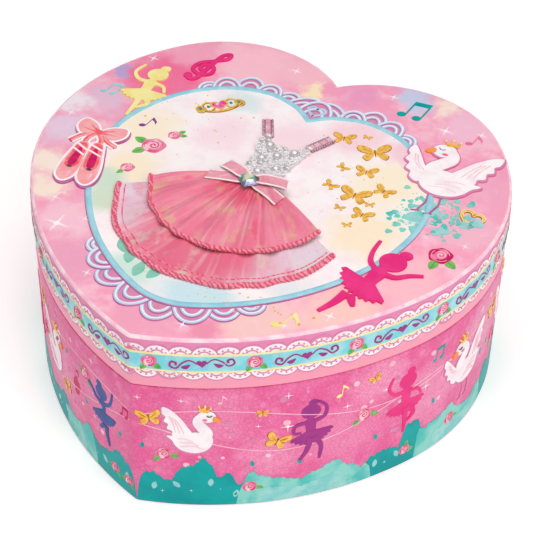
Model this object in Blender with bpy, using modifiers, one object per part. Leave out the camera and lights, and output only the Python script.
"""Heart-shaped wind-up music box with a hinged lid, lined trays and a turning dancer.

Frame: origin at the middle of the whole object's footprint, on the surface it stands on.
+X to the right, +Y to the back (the heart's lobes and the hinges), +Z up.
The heart's tip points to -Y.  All lengths below are in millimetres, times MM where used.
"""
import math

import bmesh
import bpy

MM = 0.001
GAP = 0.3                     # play between two touching pieces

# ---- the heart-shaped case ---------------------------------------------------
CASE_WIDTH = 190.0            # overall width, left to right
CASE_HEIGHT = 86.0            # overall height of the closed case
SEAM_HEIGHT = 62.0            # top edge of the base, where the lid meets it
BOARD = 3.0                   # greyboard of the walls, the lid's top and the bottom panel
KEY_RECESS = 15.0             # free height under the bottom panel, for the winding key
LINING = 1.0                  # card lining of the base wall and of the lid's wall
LINING_DROP = 1.5             # how far the linings stop short of the rims
CARD = 1.5                    # card of the movement cover and the dividers
VELOUR = 1.6                  # velour-covered floor boards

# The outline is three tangent arcs on each side, as shares of the case width.
LOBE_RADIUS = 0.266
LOBE_CENTRE = (0.182, 0.114)
SHOULDER_RADIUS = 0.4645
SIDE_RADIUS = 0.749
LOBE_END = 42.0               # degrees, where the lobe runs into the shoulder
SHOULDER_END = -29.5          # degrees, where the shoulder runs into the side
ARC_STEPS = (14, 11, 10)      # facets of lobe, shoulder and side

# ---- hinges -------------------------------------------------------------------
HINGE_WIDTH = 14.0
HINGE_LEAF = 9.0              # height of a leaf on its wall
LEAF_THICK = 0.8
KNUCKLE_RADIUS = 1.5
PIN_RADIUS = 0.6
KNUCKLE_BORE = PIN_RADIUS + GAP

# ---- trays --------------------------------------------------------------------
COVER_HALF = 30.0             # half width of the movement cover
COVER_FRONT = -24.0           # its front face, from the heart's own centre
DIVIDER_TOP = 44.0
ROLL_RADIUS = 5.5
ROLL_LENGTH = 92.0
ROLL_COUNT = 3
ROLL_PITCH = 12.0
ROLL_INSET = 3.0              # clear space between the first roll and the divider

# ---- lid fittings -------------------------------------------------------------
LID_LINER = 1.5               # card under the lid's top
MIRROR_THICK = 1.9
MIRROR_SHARE = 0.8            # size of the heart-shaped mirror next to the case

# ---- movement -----------------------------------------------------------------
BARREL_Y = 25.0               # barrel and dancer axis, from the heart's own centre
BED_THICK = 2.0
BED = (-27.0, 27.0, -18.5, 40.0)
AXLE_RADIUS = 1.0             # cylinder's axle
PIVOT_RADIUS = 0.6            # worm's pivots
WHEEL_PIVOT_RADIUS = 0.7      # governor wheel's arbor
POST_HALF = 3.5               # half width of a bearing plate
POST_OVER_AXIS = 2.8
ARBOR_RADIUS = 2.0
ARBOR_LOW = 6.0               # the arbor's lower end, inside the key
ARBOR_SHORT = 1.3             # how far its upper end stays below the drum's top
RATCHET_RADIUS = 7.5
RATCHET_TEETH = 16
RATCHET_THICK = 1.2
RATCHET_TOOTH = 1.1
DRUM_RADIUS = 10.5
DRUM_WALL = 0.9
DRUM_HEIGHT = 9.6
DRUM_TOP_THICK = 1.0
CAP_THICK = 0.8
FLANGE_RADIUS = 4.0           # spindle's flange on the drum
FLANGE_THICK = 0.4
WHEEL_RADIUS = 12.5           # great wheel, over the teeth
WHEEL_TEETH = 48
WHEEL_THICK = 1.6
WHEEL_TOOTH = 0.8
WHEEL_LIFT = 0.9              # great wheel above the drum's lower edge
SPRING_TURNS = 5
SPRING_STRIP = 0.3            # thickness of the mainspring's strip
SPRING_PLAY = 0.6             # between the spiral and the arbor or the drum
CYLINDER_RADIUS = 6.5
CYLINDER_LENGTH = 17.2
CYLINDER_AXIS_Z = 10.0        # above the bottom panel's top face and one gap
CYLINDER_GEAR_RADIUS = 7.5
CROWN_RADIUS = 5.0
COMB_TEETH = 18
TOOTH_PITCH = 0.95
TOOTH_WIDTH = 0.65
COMB_THICK = 1.0
PINION_RADIUS = 1.8
WORM_WHEEL_RADIUS = 5.0
WORM_RADIUS = 1.4
FLY_RADIUS = 4.0
FLY_HEIGHT = 1.2
STOP_RADIUS = 0.75
SCREW_RADIUS = 1.2
SCREW_HEAD_RADIUS = 2.8
SCREW_HEAD = 1.4
CLICK_POST_RADIUS = 0.8
SCREW_PLACES = ((-18.0, 34.0), (20.0, 34.0), (20.0, -14.0))
KEY_WING = 9.4                # diameter of each wing of the key
KEY_HALF_SPAN = 9.7
KEY_WING_LOW = 2.5            # lowest point of the wings
KEY_WING_THICK = 1.6
KEY_HUB_LOW = 3.0
KEY_HUB_RADIUS = 3.2
KEY_UNDER_PANEL = 1.0         # clear height between the key's hub and the bottom panel

# ---- dancer -------------------------------------------------------------------
DECK_OVER_BED = 18.3          # underside of the cover's deck above the bottom panel
TURNTABLE_RADIUS = 10.0
TURNTABLE_THICK = 1.5
DANCER_SPRING = 5.0
COIL_RADIUS = 2.2
COIL_WIRE = 0.4
COIL_TURNS = 4
HIP_SHARE = 0.39              # height of the hips as a share of the dancer's
TUTU_WAIST = 2.4
DANCER_HEIGHT = 31.0
TUTU_RADIUS = 9.5

# ---- dress on the lid ---------------------------------------------------------
DRESS_WAIST_Y = -18.0
UPPER_HEM = (38.4, -23.6, 16.0)      # hem radius, its centre's Y, corner angle below level
LOWER_HEM = (47.4, -32.6, 11.5)
SKIRT_THICK = 1.4
BODICE_THICK = 3.0
BOW_THICK = 1.1
GEM_THICK = 2.4

# ---- heights worked out from the sizes above ------------------------------------
FLOOR = KEY_RECESS + BOARD                       # top of the bottom panel
BED_BOTTOM = FLOOR + GAP
BED_TOP = BED_BOTTOM + BED_THICK
RATCHET_BOTTOM = BED_TOP + GAP
DRUM_BOTTOM = RATCHET_BOTTOM + RATCHET_THICK + 2 * GAP
DRUM_TOP = DRUM_BOTTOM + DRUM_HEIGHT
AXIS_Z = BED_BOTTOM + CYLINDER_AXIS_Z
DECK_BOTTOM = BED_BOTTOM + DECK_OVER_BED
DECK_TOP = DECK_BOTTOM + CARD
TABLE_BOTTOM = DECK_TOP + 0.5
TABLE_TOP = TABLE_BOTTOM + TURNTABLE_THICK
DANCER_FOOT = TABLE_TOP + 0.5 + DANCER_SPRING + 0.6
LID_BOTTOM = SEAM_HEIGHT + GAP
LID_UNDER = CASE_HEIGHT - BOARD                  # underside of the lid's top board
MIRROR_TOP = LID_UNDER - 2 * GAP - LID_LINER
MIRROR_BOTTOM = MIRROR_TOP - MIRROR_THICK
LINER_INSET = BOARD + GAP
INNER = LINER_INSET + LINING + GAP               # inset of everything inside the linings
TIP_CLEAR = 0.3                                  # between the teeth of two wheels

CASE_SHARE_WIDTH = 2 * (LOBE_CENTRE[0] + (LOBE_RADIUS - SHOULDER_RADIUS)
                        * math.cos(math.radians(LOBE_END)) + SHOULDER_RADIUS)
UNIT = CASE_WIDTH / CASE_SHARE_WIDTH


def arc_centres():
    """Return centre, radius, first and last angle of the outline's arcs, in mm."""
    lobe = (LOBE_CENTRE[0] * UNIT, LOBE_CENTRE[1] * UNIT)
    radii = [LOBE_RADIUS * UNIT, SHOULDER_RADIUS * UNIT, SIDE_RADIUS * UNIT]
    angles = [math.radians(LOBE_END), math.radians(SHOULDER_END)]
    centres = [lobe]
    for index in range(2):
        step = radii[index] - radii[index + 1]
        x, y = centres[-1]
        centres.append((x + step * math.cos(angles[index]), y + step * math.sin(angles[index])))
    return centres, radii, angles


def heart(inset=0.0):
    """Return the heart outline, moved inwards by inset, counter-clockwise from the tip."""
    centres, radii, angles = arc_centres()
    radii = [radius - inset for radius in radii]
    notch = math.pi - math.acos(centres[0][0] / radii[0])
    tip = -math.acos(-centres[2][0] / radii[2])
    spans = ((tip, angles[1]), (angles[1], angles[0]), (angles[0], notch))
    right = []
    for (first, last), centre, radius, steps in zip(
            spans, reversed(centres), reversed(radii), reversed(ARC_STEPS)):
        for step in range(steps):
            turn = first + (last - first) * step / steps
            right.append((centre[0] + radius * math.cos(turn), centre[1] + radius * math.sin(turn)))
    right[0] = (0.0, right[0][1])
    top = centres[0][1] + radii[0] * math.sin(notch)
    return right + [(0.0, top)] + [(-x, y) for x, y in reversed(right[1:])]


def small_heart(share):
    """Return the heart outline made smaller about the middle of its own height."""
    middle = (heart()[0][1] + LOBE_BACK) / 2
    return [(x * share, middle + (y - middle) * share) for x, y in heart()]


CENTRES, RADII = arc_centres()[:2]
LOBE_X = CENTRES[0][0]
LOBE_BACK = CENTRES[0][1] + RADII[0]
TIP_Y = heart()[0][1]
HINGE_Y = LOBE_BACK + GAP + KNUCKLE_RADIUS
HINGE_Z = SEAM_HEIGHT + GAP / 2
CENTRE_Y = (TIP_Y + HINGE_Y + KNUCKLE_RADIUS) / 2    # the footprint's middle

# ---- scene and collections ---------------------------------------------------------
for leftover in list(bpy.data.objects):
    bpy.data.objects.remove(leftover, do_unlink=True)

PARTS = bpy.data.collections.new("heart_music_box")
CUTTERS = bpy.data.collections.new("cutters")
for collection in (PARTS, CUTTERS):
    bpy.context.scene.collection.children.link(collection)

# Pieces are placed from the heart's own centre; this empty carries it to the footprint's.
CASE_FRAME = bpy.data.objects.new("case_frame", None)
CASE_FRAME.location = (0.0, -CENTRE_Y * MM, 0.0)
PARTS.objects.link(CASE_FRAME)


def finish_of(name, colour, roughness, metallic=0.0):
    """Return a Principled material."""
    material = bpy.data.materials.new(name)
    material.use_nodes = True
    shader = material.node_tree.nodes["Principled BSDF"]
    shader.inputs["Base Color"].default_value = (*colour, 1.0)
    shader.inputs["Roughness"].default_value = roughness
    shader.inputs["Metallic"].default_value = metallic
    return material


PINK_PAPER = ((0.86, 0.31, 0.50), 0.45, 0.0)
ROSE_LINING = ((0.91, 0.62, 0.72), 0.7, 0.0)
VELOUR_PINK = ((0.80, 0.36, 0.52), 0.95, 0.0)
BARE_BOARD = ((0.45, 0.40, 0.34), 0.85, 0.0)
BRASS = ((0.72, 0.53, 0.25), 0.3, 1.0)
STEEL = ((0.62, 0.62, 0.64), 0.3, 1.0)
CAST = ((0.48, 0.49, 0.51), 0.5, 1.0)
MIRROR = ((0.85, 0.88, 0.9), 0.03, 1.0)
TULLE = ((0.86, 0.27, 0.38), 0.85, 0.0)
PEARL = ((0.86, 0.86, 0.88), 0.15, 0.0)
GEM = ((0.35, 0.72, 0.62), 0.05, 0.0)
DOLL = ((0.90, 0.70, 0.62), 0.4, 0.0)
NYLON = ((0.88, 0.87, 0.83), 0.5, 0.0)


def add_object(name, mesh, finish):
    """Link a new sub-part with its own material."""
    part = bpy.data.objects.new(name, mesh)
    part.parent = CASE_FRAME
    mesh.materials.clear()
    mesh.materials.append(finish_of(name, *finish))
    PARTS.objects.link(part)
    return part


def smooth(part, degrees=35):
    """Shade the round faces of a piece smooth and keep its edges."""
    part.data.shade_smooth()
    part.data.set_sharp_from_angle(angle=math.radians(degrees))
    return part


def outline_mesh(outlines, bottom, top):
    """Return the mesh of flat outlines (the first one with the rest as holes), extruded."""
    curve = bpy.data.curves.new("outline", "CURVE")
    curve.dimensions = "2D"
    curve.fill_mode = "BOTH"
    curve.extrude = (top - bottom) / 2 * MM
    for outline in outlines:
        spline = curve.splines.new("POLY")
        spline.points.add(len(outline) - 1)
        for point, (x, y) in zip(spline.points, outline):
            point.co = (x * MM, y * MM, 0.0, 1.0)
        spline.use_cyclic_u = True
    return welded(curve, lift=(bottom + top) / 2)


def welded(curve, lift=0.0):
    """Turn a curve into a closed mesh and remove the curve."""
    guide = bpy.data.objects.new("guide", curve)
    bpy.context.scene.collection.objects.link(guide)
    bpy.context.view_layer.update()
    mesh = bpy.data.meshes.new_from_object(guide.evaluated_get(bpy.context.evaluated_depsgraph_get()))
    bpy.data.objects.remove(guide, do_unlink=True)
    bpy.data.curves.remove(curve)
    shape = bmesh.new()
    shape.from_mesh(mesh)
    bmesh.ops.remove_doubles(shape, verts=shape.verts, dist=0.00001)
    bmesh.ops.translate(shape, verts=shape.verts, vec=(0.0, 0.0, lift * MM))
    bmesh.ops.recalc_face_normals(shape, faces=shape.faces)
    shape.to_mesh(mesh)
    shape.free()
    return mesh


def plate(name, outlines, bottom, top, finish):
    """Make a flat piece from its outlines."""
    return add_object(name, outline_mesh(outlines, bottom, top), finish)


def circle(x, y, radius, steps=24):
    """Return the points of a circle."""
    return [(x + radius * math.cos(math.tau * k / steps), y + radius * math.sin(math.tau * k / steps))
            for k in range(steps)]


def rectangle(left, right, front, back):
    """Return the corners of a rectangle."""
    return [(left, front), (right, front), (right, back), (left, back)]


def box_mesh(left, right, front, back, bottom, top):
    """Return a box between the given faces."""
    shape = bmesh.new()
    bmesh.ops.create_cube(shape, size=1.0)
    size = (right - left, back - front, top - bottom)
    middle = ((left + right) / 2, (front + back) / 2, (bottom + top) / 2)
    bmesh.ops.scale(shape, verts=shape.verts, vec=[side * MM for side in size])
    bmesh.ops.translate(shape, verts=shape.verts, vec=[place * MM for place in middle])
    mesh = bpy.data.meshes.new("box")
    shape.to_mesh(mesh)
    shape.free()
    return mesh


def rod_mesh(start, axis, length, radius, steps=24):
    """Return a cylinder that runs from start along an axis, X, Y or Z."""
    shape = bmesh.new()
    bmesh.ops.create_cone(shape, cap_ends=True, segments=steps, radius1=radius * MM,
                          radius2=radius * MM, depth=length * MM)
    bmesh.ops.translate(shape, verts=shape.verts, vec=(0.0, 0.0, length / 2 * MM))
    for vert in shape.verts:
        x, y, z = vert.co
        vert.co = {"X": (z, x, y), "Y": (y, z, x), "Z": (x, y, z)}[axis]
    bmesh.ops.translate(shape, verts=shape.verts, vec=[place * MM for place in start])
    mesh = bpy.data.meshes.new("rod")
    shape.to_mesh(mesh)
    shape.free()
    return mesh


def helper(mesh):
    """Put a mesh among the cutters, out of the render."""
    tool = bpy.data.objects.new("cutter", mesh)
    tool.parent = CASE_FRAME
    tool.hide_render = True
    tool.display_type = "WIRE"
    CUTTERS.objects.link(tool)
    return tool


def carve(part, mesh, operation="DIFFERENCE"):
    """Add a Boolean of the given kind to a piece."""
    step = part.modifiers.new(operation.lower(), "BOOLEAN")
    step.operation = operation
    step.solver = "EXACT"
    step.object = helper(mesh)
    return part


def turned(name, profile, centre, finish, steps=32, axis="Z"):
    """Turn a closed profile of (radius, height) points, given top to bottom, about an axis."""
    mesh = bpy.data.meshes.new(name)
    points = [(radius * MM, 0.0, height * MM) for radius, height in profile]
    closed = profile[0] == profile[-1]
    if closed:
        points.pop()
    links = [(k, k + 1) for k in range(len(points) - 1)]
    if closed:
        links.append((len(points) - 1, 0))
    mesh.from_pydata(points, links, [])
    part = add_object(name, mesh, finish)
    part.location = [place * MM for place in centre]
    if axis == "Y":
        part.rotation_euler = (-math.pi / 2, 0.0, 0.0)
    screw = part.modifiers.new("turn", "SCREW")
    screw.steps = steps
    screw.render_steps = steps
    screw.use_merge_vertices = True
    screw.merge_threshold = 0.00001
    screw.use_smooth_shade = False
    return part


def ring_profile(inner, outer, bottom, top):
    """Return the closed profile of a plain ring, outer side first, top to bottom."""
    return [(outer, top), (outer, bottom), (inner, bottom), (inner, top), (outer, top)]


def toothed(centre_y, tip, root, teeth):
    """Return a wheel outline with straight-sided teeth."""
    points = []
    for tooth in range(teeth):
        for share, radius in ((0.0, root), (0.22, tip), (0.5, tip), (0.72, root)):
            turn = math.tau * (tooth + share) / teeth
            points.append((radius * math.cos(turn), centre_y + radius * math.sin(turn)))
    return points


# ---- case ------------------------------------------------------------------------------

def build_case():
    """Make the walls, the bottom panel and the linings."""
    plate("base_wall", [heart(), heart(BOARD)], 0.0, SEAM_HEIGHT, PINK_PAPER)
    holes = [circle(0.0, BARREL_Y, ARBOR_RADIUS + 4 * GAP)]
    holes += [circle(x, y, SCREW_RADIUS + GAP, 12) for x, y in SCREW_PLACES]
    plate("bottom_panel", [heart(LINER_INSET)] + holes, KEY_RECESS, FLOOR, BARE_BOARD)
    ring = [heart(LINER_INSET), heart(LINER_INSET + LINING)]
    plate("wall_lining", ring, FLOOR + GAP, SEAM_HEIGHT - LINING_DROP, ROSE_LINING)


def build_lid():
    """Make the lid's board, rim, liner, mirror and wall lining."""
    plate("lid_top", [heart()], LID_UNDER, CASE_HEIGHT, PINK_PAPER)
    plate("lid_rim", [heart(), heart(BOARD)], LID_BOTTOM, LID_UNDER - GAP, PINK_PAPER)
    plate("lid_liner", [heart(LINER_INSET)], LID_UNDER - GAP - LID_LINER, LID_UNDER - GAP, ROSE_LINING)
    plate("mirror", [small_heart(MIRROR_SHARE)], MIRROR_BOTTOM, MIRROR_TOP, MIRROR)
    ring = [heart(LINER_INSET), heart(LINER_INSET + LINING)]
    plate("lid_wall_lining", ring, LID_BOTTOM + LINING_DROP, MIRROR_TOP, ROSE_LINING)


def build_trays():
    """Make the movement cover, the dividers, the floor boards and the ring rolls."""
    inside = heart(INNER)
    far = CASE_WIDTH
    outer = box_mesh(-COVER_HALF, COVER_HALF, COVER_FRONT, far, BED_BOTTOM, DECK_TOP)
    cover = add_object("movement_cover", outer, ROSE_LINING)
    carve(cover, box_mesh(-COVER_HALF + CARD, COVER_HALF - CARD, COVER_FRONT + CARD, 2 * far,
                          0.0, DECK_BOTTOM))
    carve(cover, rod_mesh((0.0, BARREL_Y, FLOOR), "Z", far, ARBOR_RADIUS + 2 * GAP))
    carve(cover, rod_mesh((*STOP_PLACE, FLOOR), "Z", far, STOP_RADIUS + GAP, 16))
    carve(cover, outline_mesh([inside], 0.0, CASE_HEIGHT), "INTERSECT")
    for side, name in ((-1, "left"), (1, "right")):
        edges = sorted((side * (COVER_HALF + GAP), side * far))
        board = box_mesh(*edges, COVER_FRONT, COVER_FRONT + CARD, BED_BOTTOM, DIVIDER_TOP)
        divider = add_object("divider_" + name, board, ROSE_LINING)
        carve(divider, outline_mesh([inside], 0.0, CASE_HEIGHT), "INTERSECT")
        mesh = box_mesh(*edges, COVER_FRONT + CARD + GAP, far, BED_BOTTOM, BED_BOTTOM + VELOUR)
        floor = add_object("floor_" + name, mesh, VELOUR_PINK)
        carve(floor, outline_mesh([inside], 0.0, CASE_HEIGHT), "INTERSECT")
    mesh = box_mesh(-far, far, -far, COVER_FRONT - GAP, BED_BOTTOM, BED_BOTTOM + VELOUR)
    floor = add_object("floor_front", mesh, VELOUR_PINK)
    carve(floor, outline_mesh([inside], 0.0, CASE_HEIGHT), "INTERSECT")
    for index in range(ROLL_COUNT):
        y = COVER_FRONT - ROLL_INSET - ROLL_RADIUS - index * ROLL_PITCH
        z = BED_BOTTOM + VELOUR + GAP + ROLL_RADIUS
        mesh = rod_mesh((-ROLL_LENGTH / 2, y, z), "X", ROLL_LENGTH, ROLL_RADIUS, 20)
        roll = add_object(f"ring_roll_{index + 1}", mesh, VELOUR_PINK)
        edge = roll.modifiers.new("rounded_ends", "BEVEL")
        edge.width = ROLL_RADIUS * 0.35 * MM
        edge.segments = 2
        edge.limit_method = "ANGLE"
        edge.angle_limit = math.radians(60)
        smooth(roll)


# ---- hinges ------------------------------------------------------------------------------

def build_hinges():
    """Make two butt hinges on the backs of the lobes, both turning on one line."""
    half = HINGE_WIDTH / 2
    third = HINGE_WIDTH * 0.17
    base_spans = ((-half, -third - GAP), (third + GAP, half))
    lid_spans = ((-third, third),)
    ring = [heart(-GAP - LEAF_THICK), heart(-GAP)]
    for side, name in ((-1, "left"), (1, "right")):
        x = side * LOBE_X
        for kind, spans, up in (("base", base_spans, -1), ("lid", lid_spans, 1)):
            near = HINGE_Z + up * (KNUCKLE_RADIUS + GAP)
            low, high = sorted((near, near + up * HINGE_LEAF))
            leaf = plate(f"hinge_{kind}_{name}", ring, low, high, BRASS)
            carve(leaf, box_mesh(x - half, x + half, LOBE_BACK * 0.8, LOBE_BACK * 1.2,
                                 low - 1.0, high + 1.0), "INTERSECT")
            for first, last in spans:
                low, high = sorted((near + up, HINGE_Z))
                tab = box_mesh(x + first, x + last, LOBE_BACK + GAP, LOBE_BACK + GAP + LEAF_THICK,
                               low, high)
                carve(leaf, tab, "UNION")
                carve(leaf, rod_mesh((x + first, HINGE_Y, HINGE_Z), "X", last - first,
                                     KNUCKLE_RADIUS, 20), "UNION")
            carve(leaf, rod_mesh((x - HINGE_WIDTH, HINGE_Y, HINGE_Z), "X", 2 * HINGE_WIDTH,
                                 KNUCKLE_BORE, 20))
        pin = rod_mesh((x - half - GAP, HINGE_Y, HINGE_Z), "X", HINGE_WIDTH + 2 * GAP, PIN_RADIUS, 12)
        smooth(add_object(f"hinge_pin_{name}", pin, BRASS))


# ---- movement: fixed pieces ---------------------------------------------------------------

COMB_INNER = CYLINDER_RADIUS + GAP
COMB_ROOT = COMB_INNER + 9.5
COMB_OUTER = COMB_ROOT + 9.0
GOVERNOR_X = -(CYLINDER_GEAR_RADIUS + PINION_RADIUS + TIP_CLEAR)
WORM_X = GOVERNOR_X - WORM_WHEEL_RADIUS - WORM_RADIUS - TIP_CLEAR
CROWN_FRONT = BARREL_Y - WHEEL_RADIUS - TIP_CLEAR      # end of the crown's teeth
CROWN_THICK = 1.2
POST_THICK = 1.4
REAR_POST_BACK = CROWN_FRONT - CROWN_THICK - 0.4
CYLINDER_BACK = REAR_POST_BACK - POST_THICK - 0.5
CYLINDER_FRONT = CYLINDER_BACK - CYLINDER_LENGTH
GEAR_THICK = 1.2
FRONT_POST_BACK = CYLINDER_FRONT - 0.5 - GEAR_THICK - 0.5
BRACKET_WALL = 1.0
BRACKET_BACK = FRONT_POST_BACK - 0.6
BRACKET_REACH = FLY_RADIUS + 1.4                       # from the worm to the bracket's left face
PILLAR = 0.8
WORM_Y = BRACKET_BACK - BRACKET_WALL - 1.7
BRACKET_FRONT = WORM_Y - 3.3
FLY_BOTTOM = AXIS_Z + WORM_WHEEL_RADIUS + 0.1
BRACKET_TOP = FLY_BOTTOM + FLY_HEIGHT + 1.5
FINGER_Z = FLY_BOTTOM + FLY_HEIGHT - 0.3
STOP_PLACE = (WORM_X - 7.7, WORM_Y)
STOP_TOP = MIRROR_BOTTOM - 0.4
BRIDGE_X = WHEEL_RADIUS + 1.5
CLICK_DISTANCE = 12.0
CLICK_PLACE = (-CLICK_DISTANCE * math.sin(math.radians(45)),
               BARREL_Y + CLICK_DISTANCE * math.cos(math.radians(45)))


def post(name, x, back, height_over_axis, hole):
    """Make an upright bearing plate with a hole on the cylinder's axis."""
    mesh = box_mesh(x - POST_HALF, x + POST_HALF, back - POST_THICK, back, BED_TOP + GAP,
                    AXIS_Z + height_over_axis)
    plate_part = add_object(name, mesh, BRASS)
    carve(plate_part, rod_mesh((x, back - 2 * POST_THICK, AXIS_Z), "Y", 3 * POST_THICK, hole, 16))


def build_fixed_movement():
    """Make the bedplate and all that is screwed to it."""
    holes = [circle(0.0, BARREL_Y, ARBOR_RADIUS + GAP)]
    holes += [circle(x, y, SCREW_RADIUS + GAP, 12) for x, y in SCREW_PLACES]
    bed = plate("bedplate", [rectangle(*BED)] + holes, BED_BOTTOM, BED_TOP, CAST)
    anvil_half = COMB_TEETH * TOOTH_PITCH / 2
    middle = (CYLINDER_FRONT + CYLINDER_BACK) / 2
    carve(bed, box_mesh(COMB_ROOT + 0.5, COMB_OUTER, middle - anvil_half, middle + anvil_half,
                        BED_TOP - 1.0, AXIS_Z - COMB_THICK / 2 - GAP), "UNION")
    for index, (x, y) in enumerate(SCREW_PLACES):
        head = KEY_RECESS - GAP
        profile = [(0.0, BED_TOP - GAP), (SCREW_RADIUS, BED_TOP - GAP), (SCREW_RADIUS, head),
                   (SCREW_HEAD_RADIUS, head), (SCREW_HEAD_RADIUS, head - SCREW_HEAD),
                   (0.0, head - SCREW_HEAD)]
        turned(f"movement_screw_{index + 1}", profile, (x, y, 0.0), STEEL, 16)
    tooth_side = [(COMB_OUTER, middle - anvil_half), (COMB_OUTER, middle + anvil_half)]
    for tooth in reversed(range(COMB_TEETH)):
        start = middle - anvil_half + tooth * TOOTH_PITCH + (TOOTH_PITCH - TOOTH_WIDTH) / 2
        tooth_side += [(COMB_ROOT, start + TOOTH_WIDTH), (COMB_INNER, start + TOOTH_WIDTH),
                       (COMB_INNER, start), (COMB_ROOT, start)]
    plate("comb", [tooth_side], AXIS_Z - COMB_THICK / 2, AXIS_Z + COMB_THICK / 2, STEEL)
    post("bearing_rear", 0.0, REAR_POST_BACK, POST_OVER_AXIS, AXLE_RADIUS + GAP)
    post("bearing_front", 0.0, FRONT_POST_BACK, POST_OVER_AXIS, AXLE_RADIUS + GAP)
    build_governor_bracket()
    bridge_top = DRUM_TOP + 2.0
    bridge = add_object("barrel_bridge", box_mesh(
        -BRIDGE_X - 1.0, BRIDGE_X + 1.0, BARREL_Y - 4.0, BARREL_Y + 4.0, BED_TOP + GAP, bridge_top), BRASS)
    carve(bridge, box_mesh(-BRIDGE_X, BRIDGE_X, BARREL_Y - 8.0, BARREL_Y + 8.0, 0.0, bridge_top - 1.0))
    carve(bridge, rod_mesh((0.0, BARREL_Y, DRUM_TOP), "Z", 10.0, ARBOR_RADIUS + 2 * GAP))
    high = RATCHET_BOTTOM + RATCHET_THICK + 0.4
    low = BED_TOP + 0.1
    profile = [(0.0, high), (CLICK_POST_RADIUS, high), (CLICK_POST_RADIUS, low), (0.0, low)]
    turned("click_post", profile, (*CLICK_PLACE, 0.0), STEEL, 12)
    x, y = STOP_PLACE
    half = STOP_RADIUS + 1.1
    guide = add_object("stop_guide", box_mesh(x - half, x + half, y - half, y + half, BED_TOP + GAP,
                                              BED_TOP + 6.0), BRASS)
    carve(guide, rod_mesh((x, y, BED_TOP), "Z", 10.0, STOP_RADIUS + GAP, 16))


def build_governor_bracket():
    """Make the bracket that holds the worm upright and the governor wheel level."""
    left, right = WORM_X - BRACKET_REACH, GOVERNOR_X + 3.5
    low = BED_TOP + GAP
    overlap = 0.2
    pillar_front = WORM_Y + 0.9           # the stop wire's finger passes in front of the pillar
    bracket = add_object("governor_bracket", box_mesh(
        left, right, BRACKET_BACK - BRACKET_WALL, BRACKET_BACK, low, FLY_BOTTOM - 0.4), BRASS)
    boxes = (
        (left, right, BRACKET_FRONT, BRACKET_BACK - overlap, low, low + 0.8),
        (left, left + PILLAR, pillar_front, BRACKET_BACK - overlap, low + overlap, BRACKET_TOP),
        (left + overlap, WORM_X + 1.2, pillar_front + overlap, BRACKET_BACK - 2 * overlap,
         BRACKET_TOP - 0.6, BRACKET_TOP + overlap),
        (WORM_X - 1.4, WORM_X + 1.4, WORM_Y - 1.2, pillar_front + 2 * overlap,
         BRACKET_TOP - 0.5, BRACKET_TOP + 0.1),
        (GOVERNOR_X - 2.2, right, BRACKET_FRONT, BRACKET_FRONT + 0.8, low + overlap, AXIS_Z + 2.2),
    )
    for box in boxes:
        carve(bracket, box_mesh(*box), "UNION")
    carve(bracket, rod_mesh((GOVERNOR_X, BRACKET_FRONT - 1.0, AXIS_Z), "Y", 12.0,
                            WHEEL_PIVOT_RADIUS + GAP, 16))
    carve(bracket, rod_mesh((WORM_X, WORM_Y, BED_TOP), "Z", 30.0, PIVOT_RADIUS + GAP, 16))


# ---- movement: turning pieces ---------------------------------------------------------------

def build_key():
    """Make the arbor with its key and ratchet wheel, and the mainspring wound round it."""
    high = DRUM_TOP - ARBOR_SHORT
    profile = [(0.0, high), (ARBOR_RADIUS, high), (ARBOR_RADIUS, ARBOR_LOW), (0.0, ARBOR_LOW)]
    smooth(turned("arbor", profile, (0.0, BARREL_Y, 0.0), STEEL, 24))
    wheel = toothed(BARREL_Y, RATCHET_RADIUS, RATCHET_RADIUS - RATCHET_TOOTH, RATCHET_TEETH)
    plate("ratchet_wheel", [wheel, circle(0.0, BARREL_Y, ARBOR_RADIUS + GAP)],
          RATCHET_BOTTOM, RATCHET_BOTTOM + RATCHET_THICK, STEEL)
    hub = KEY_RECESS - KEY_UNDER_PANEL - KEY_HUB_LOW
    middle = KEY_WING_LOW + KEY_WING / 2
    key = add_object("winding_key", rod_mesh((0.0, BARREL_Y, KEY_HUB_LOW), "Z", hub, KEY_HUB_RADIUS), BRASS)
    for side in (-1, 1):
        x = side * (KEY_HALF_SPAN - KEY_WING / 2)
        start = (x, BARREL_Y - KEY_WING_THICK / 2, middle)
        carve(key, rod_mesh(start, "Y", KEY_WING_THICK, KEY_WING / 2, 28), "UNION")
    carve(key, rod_mesh((0.0, BARREL_Y, ARBOR_LOW - GAP), "Z", KEY_RECESS, ARBOR_RADIUS + GAP))
    smooth(key)
    spring_mesh("mainspring")


def spring_mesh(name):
    """Make the mainspring: a flat strip in an even spiral."""
    steps_per_turn = 20
    steps = SPRING_TURNS * steps_per_turn
    first = ARBOR_RADIUS + SPRING_PLAY
    last = DRUM_RADIUS - DRUM_WALL - SPRING_PLAY
    half = SPRING_STRIP / 2
    inner, outer = [], []
    for step in range(steps + 1):
        turn = math.tau * step / steps_per_turn
        radius = first + (last - first) * step / steps
        for side, run in ((-half, inner), (half, outer)):
            run.append(((radius + side) * math.cos(turn), BARREL_Y + (radius + side) * math.sin(turn)))
    plate(name, [inner + outer[::-1]], DRUM_BOTTOM + 1.4, DRUM_TOP - 1.6, STEEL)


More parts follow.
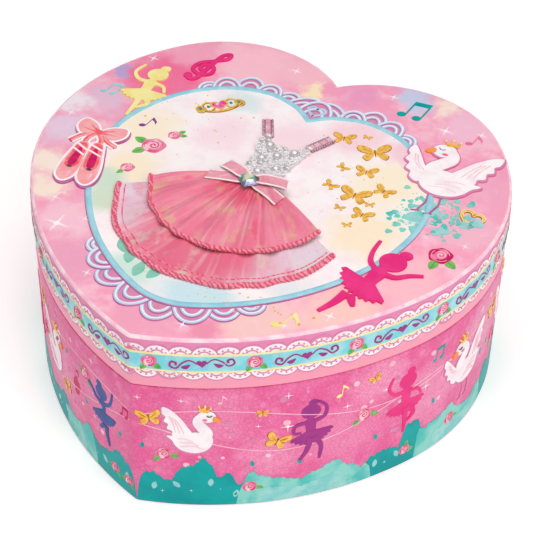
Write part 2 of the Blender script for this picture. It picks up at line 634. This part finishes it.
def build_barrel():
    """Make the spring barrel, its great wheel and the spindle with the turntable."""
    centre = (0.0, BARREL_Y, 0.0)
    inner = DRUM_RADIUS - DRUM_WALL
    profile = [(0.0, DRUM_TOP), (DRUM_RADIUS, DRUM_TOP), (DRUM_RADIUS, DRUM_BOTTOM),
               (inner, DRUM_BOTTOM), (inner, DRUM_TOP - DRUM_TOP_THICK), (0.0, DRUM_TOP - DRUM_TOP_THICK)]
    smooth(turned("barrel_drum", profile, centre, BRASS, 40))
    cap = ring_profile(ARBOR_RADIUS + GAP, inner - GAP, DRUM_BOTTOM, DRUM_BOTTOM + CAP_THICK)
    turned("barrel_cap", cap, centre, BRASS, 32)
    wheel = toothed(BARREL_Y, WHEEL_RADIUS, WHEEL_RADIUS - WHEEL_TOOTH, WHEEL_TEETH)
    plate("great_wheel", [wheel, circle(0.0, BARREL_Y, DRUM_RADIUS + GAP, 40)],
          DRUM_BOTTOM + WHEEL_LIFT, DRUM_BOTTOM + WHEEL_LIFT + WHEEL_THICK, BRASS)
    low = DRUM_TOP + GAP
    profile = [(0.0, TABLE_TOP - GAP), (ARBOR_RADIUS, TABLE_TOP - GAP), (ARBOR_RADIUS, low + FLANGE_THICK),
               (FLANGE_RADIUS, low + FLANGE_THICK), (FLANGE_RADIUS, low), (0.0, low)]
    smooth(turned("spindle", profile, centre, STEEL, 24))
    edge = 0.4
    profile = [(TURNTABLE_RADIUS - edge, TABLE_TOP), (TURNTABLE_RADIUS, TABLE_TOP - edge),
               (TURNTABLE_RADIUS, TABLE_BOTTOM), (ARBOR_RADIUS + GAP, TABLE_BOTTOM),
               (ARBOR_RADIUS + GAP, TABLE_TOP), (TURNTABLE_RADIUS - edge, TABLE_TOP)]
    smooth(turned("turntable", profile, centre, BRASS, 40))


def build_cylinder():
    """Make the pinned cylinder and its arbor, with the crown and the gear on it."""
    ring = ring_profile(AXLE_RADIUS + GAP, CYLINDER_RADIUS, CYLINDER_FRONT, CYLINDER_BACK)
    smooth(turned("cylinder", ring, (0.0, 0.0, AXIS_Z), BRASS, 32, axis="Y"))
    gear_back = CYLINDER_FRONT - 0.5
    axle_front = FRONT_POST_BACK - POST_THICK - 0.5
    profile = [(0.0, CROWN_FRONT), (CROWN_RADIUS, CROWN_FRONT), (CROWN_RADIUS, CROWN_FRONT - CROWN_THICK),
               (AXLE_RADIUS, CROWN_FRONT - CROWN_THICK), (AXLE_RADIUS, gear_back),
               (CYLINDER_GEAR_RADIUS, gear_back), (CYLINDER_GEAR_RADIUS, gear_back - GEAR_THICK),
               (AXLE_RADIUS, gear_back - GEAR_THICK), (AXLE_RADIUS, axle_front), (0.0, axle_front)]
    turned("cylinder_arbor", profile, (0.0, 0.0, AXIS_Z), BRASS, 36, axis="Y")


def build_governor():
    """Make the governor wheel on its arbor, the worm and the air-brake fly."""
    pinion_back = CYLINDER_FRONT - 0.5
    wheel_back = BRACKET_BACK - BRACKET_WALL - 1.1
    profile = [(0.0, pinion_back), (PINION_RADIUS, pinion_back), (PINION_RADIUS, pinion_back - GEAR_THICK),
               (WHEEL_PIVOT_RADIUS, pinion_back - GEAR_THICK), (WHEEL_PIVOT_RADIUS, wheel_back),
               (WORM_WHEEL_RADIUS, wheel_back), (WORM_WHEEL_RADIUS, wheel_back - GEAR_THICK),
               (WHEEL_PIVOT_RADIUS, wheel_back - GEAR_THICK),
               (WHEEL_PIVOT_RADIUS, BRACKET_FRONT - 0.4), (0.0, BRACKET_FRONT - 0.4)]
    turned("governor_wheel", profile, (GOVERNOR_X, 0.0, AXIS_Z), NYLON, 28, axis="Y")
    centre = (WORM_X, WORM_Y, 0.0)
    thread = 4.0
    profile = [(0.0, BRACKET_TOP - 0.1), (PIVOT_RADIUS, BRACKET_TOP - 0.1),
               (PIVOT_RADIUS, AXIS_Z + thread), (WORM_RADIUS, AXIS_Z + thread),
               (WORM_RADIUS, AXIS_Z - thread), (PIVOT_RADIUS, AXIS_Z - thread),
               (PIVOT_RADIUS, BED_TOP + 0.5), (0.0, BED_TOP + 0.5)]
    turned("worm", profile, centre, STEEL, 16)
    blade = box_mesh(WORM_X - FLY_RADIUS, WORM_X + FLY_RADIUS, WORM_Y - 1.3, WORM_Y + 1.3,
                     FLY_BOTTOM, FLY_BOTTOM + FLY_HEIGHT)
    fly = add_object("fly", blade, NYLON)
    carve(fly, rod_mesh((WORM_X, WORM_Y, FLY_BOTTOM - 1.0), "Z", FLY_HEIGHT + 2.0, PIVOT_RADIUS + GAP, 12))
    carve(fly, rod_mesh((WORM_X, WORM_Y, FLY_BOTTOM - 1.0), "Z", FLY_HEIGHT + 2.0, FLY_RADIUS, 32),
          "INTERSECT")


def build_levers():
    """Make the click that holds the ratchet and the wire that the lid presses down."""
    x, y = CLICK_PLACE
    reach = CLICK_DISTANCE - RATCHET_RADIUS - 0.5
    heading = math.atan2(BARREL_Y - y, -x)
    nose = (x + reach * math.cos(heading), y + reach * math.sin(heading))
    side = (math.cos(heading + math.pi / 2), math.sin(heading + math.pi / 2))
    outline = [(x + 1.9 * math.cos(heading + turn), y + 1.9 * math.sin(heading + turn))
               for turn in [math.radians(60 + 20 * k) for k in range(13)]]
    outline.append((nose[0] - 0.5 * side[0], nose[1] - 0.5 * side[1]))
    outline.append((nose[0] + 0.5 * side[0], nose[1] + 0.5 * side[1]))
    plate("click", [outline, circle(x, y, CLICK_POST_RADIUS + GAP, 12)], RATCHET_BOTTOM,
          RATCHET_BOTTOM + RATCHET_THICK, STEEL)
    x, y = STOP_PLACE
    low = BED_TOP + 0.7
    wire = add_object("stop_wire", rod_mesh((x, y, low), "Z", STOP_TOP - low, STOP_RADIUS, 12), STEEL)
    finger = WORM_X - FLY_RADIUS - 0.4 - x
    carve(wire, rod_mesh((x, y, FINGER_Z), "X", finger, 0.4, 12), "UNION")
    smooth(wire)


# ---- dancer ---------------------------------------------------------------------------------

def build_dancer():
    """Make the dancer, her net skirt and the spring she sways on."""
    coil = bpy.data.curves.new("coil", "CURVE")
    coil.dimensions = "3D"
    coil.bevel_depth = COIL_WIRE * MM
    coil.bevel_resolution = 1
    coil.use_fill_caps = True
    steps = 14
    spline = coil.splines.new("POLY")
    spline.points.add(COIL_TURNS * steps)
    low = TABLE_TOP + 0.5 + COIL_WIRE
    climb = DANCER_SPRING - 2 * COIL_WIRE
    for k, point in enumerate(spline.points):
        turn = math.tau * k / steps
        x, y = COIL_RADIUS * math.cos(turn), BARREL_Y + COIL_RADIUS * math.sin(turn)
        point.co = (x * MM, y * MM, (low + climb * k / (COIL_TURNS * steps)) * MM, 1.0)
    add_object("dancer_spring", welded(coil), STEEL)
    foot = DANCER_FOOT
    body = ((0.0, 1.0), (1.6, 0.985), (2.0, 0.90), (2.3, 0.80), (2.2, 0.735), (1.0, 0.68), (1.0, 0.655),
            (2.3, 0.60), (1.5, 0.50), (2.0, 0.42), (2.0, 0.36), (1.2, 0.25), (0.8, 0.06), (3.0, 0.03),
            (3.0, 0.0), (0.0, 0.0))
    profile = [(radius, foot + share * DANCER_HEIGHT) for radius, share in body]
    smooth(turned("dancer_figure", profile, (0.0, BARREL_Y, 0.0), DOLL, 20), 60)
    hip = foot + HIP_SHARE * DANCER_HEIGHT
    profile = [(TUTU_WAIST, hip + 1.4), (TUTU_RADIUS, hip + 0.1), (TUTU_RADIUS, hip - 0.7),
               (TUTU_WAIST, hip + 0.2), (TUTU_WAIST, hip + 1.4)]
    smooth(turned("dancer_tutu", profile, (0.0, BARREL_Y, 0.0), TULLE, 28), 60)


# ---- dress on the lid ---------------------------------------------------------------------------

def fan(hem, waist_half, waist_y):
    """Return a skirt outline: a narrow waist, straight sides and a round hem."""
    radius, centre_y, corner = hem
    steps = 24
    points = [(waist_half, waist_y), (-waist_half, waist_y)]
    for step in range(steps + 1):
        turn = math.radians(180 + corner + (180 - 2 * corner) * step / steps)
        points.append((radius * math.cos(turn), centre_y + radius * math.sin(turn)))
    return points


def build_dress():
    """Make the padded dress that is glued to the lid: two skirts, bodice, straps, bow, stone."""
    on_lid = CASE_HEIGHT + GAP
    waist = DRESS_WAIST_Y
    plate("skirt_lower", [fan(LOWER_HEM, 9.0, waist - 4.0)], on_lid, on_lid + SKIRT_THICK, TULLE)
    upper = on_lid + SKIRT_THICK + GAP
    plate("skirt_upper", [fan(UPPER_HEM, 8.0, waist)], upper, upper + SKIRT_THICK, TULLE)
    neck = waist + 29.0
    bodice = [(-6.5, waist + GAP), (6.5, waist + GAP), (8.5, waist + 14.0), (11.0, neck), (4.0, neck - 2.0),
              (0.0, neck - 4.5), (-4.0, neck - 2.0), (-11.0, neck)]
    plate("bodice", [bodice], on_lid, on_lid + BODICE_THICK, PEARL)
    for side, name in ((-1, "left"), (1, "right")):
        ends = [(7.0, neck + GAP), (11.0, neck + GAP), (16.5, neck + 11.0), (12.8, neck + 12.5)]
        strap = [(side * x, y) for x, y in ends]
        plate("strap_" + name, [strap[::side]], on_lid, on_lid + 2.0, PEARL)
    bow = [(-4.0, waist - 2.0), (-15.0, waist - 1.0), (-16.0, waist - 9.0), (-4.0, waist - 6.5),
           (4.0, waist - 6.5), (16.0, waist - 9.0), (15.0, waist - 1.0), (4.0, waist - 2.0)]
    knot = upper + SKIRT_THICK + GAP
    plate("bow", [bow[::-1]], knot, knot + BOW_THICK, TULLE)
    stone = [(0.0, -4.2), (3.9, 0.2), (3.6, 2.8), (1.8, 3.8), (0.0, 2.6), (-1.8, 3.8), (-3.6, 2.8),
             (-3.9, 0.2)]
    stone = [(x, y + waist - 4.2) for x, y in stone]
    top = knot + BOW_THICK + GAP
    plate("waist_stone", [stone], top, top + GEM_THICK, GEM)


build_case()
build_lid()
build_trays()
build_hinges()
build_fixed_movement()
build_key()
build_barrel()
build_cylinder()
build_governor()
build_levers()
build_dancer()
build_dress()
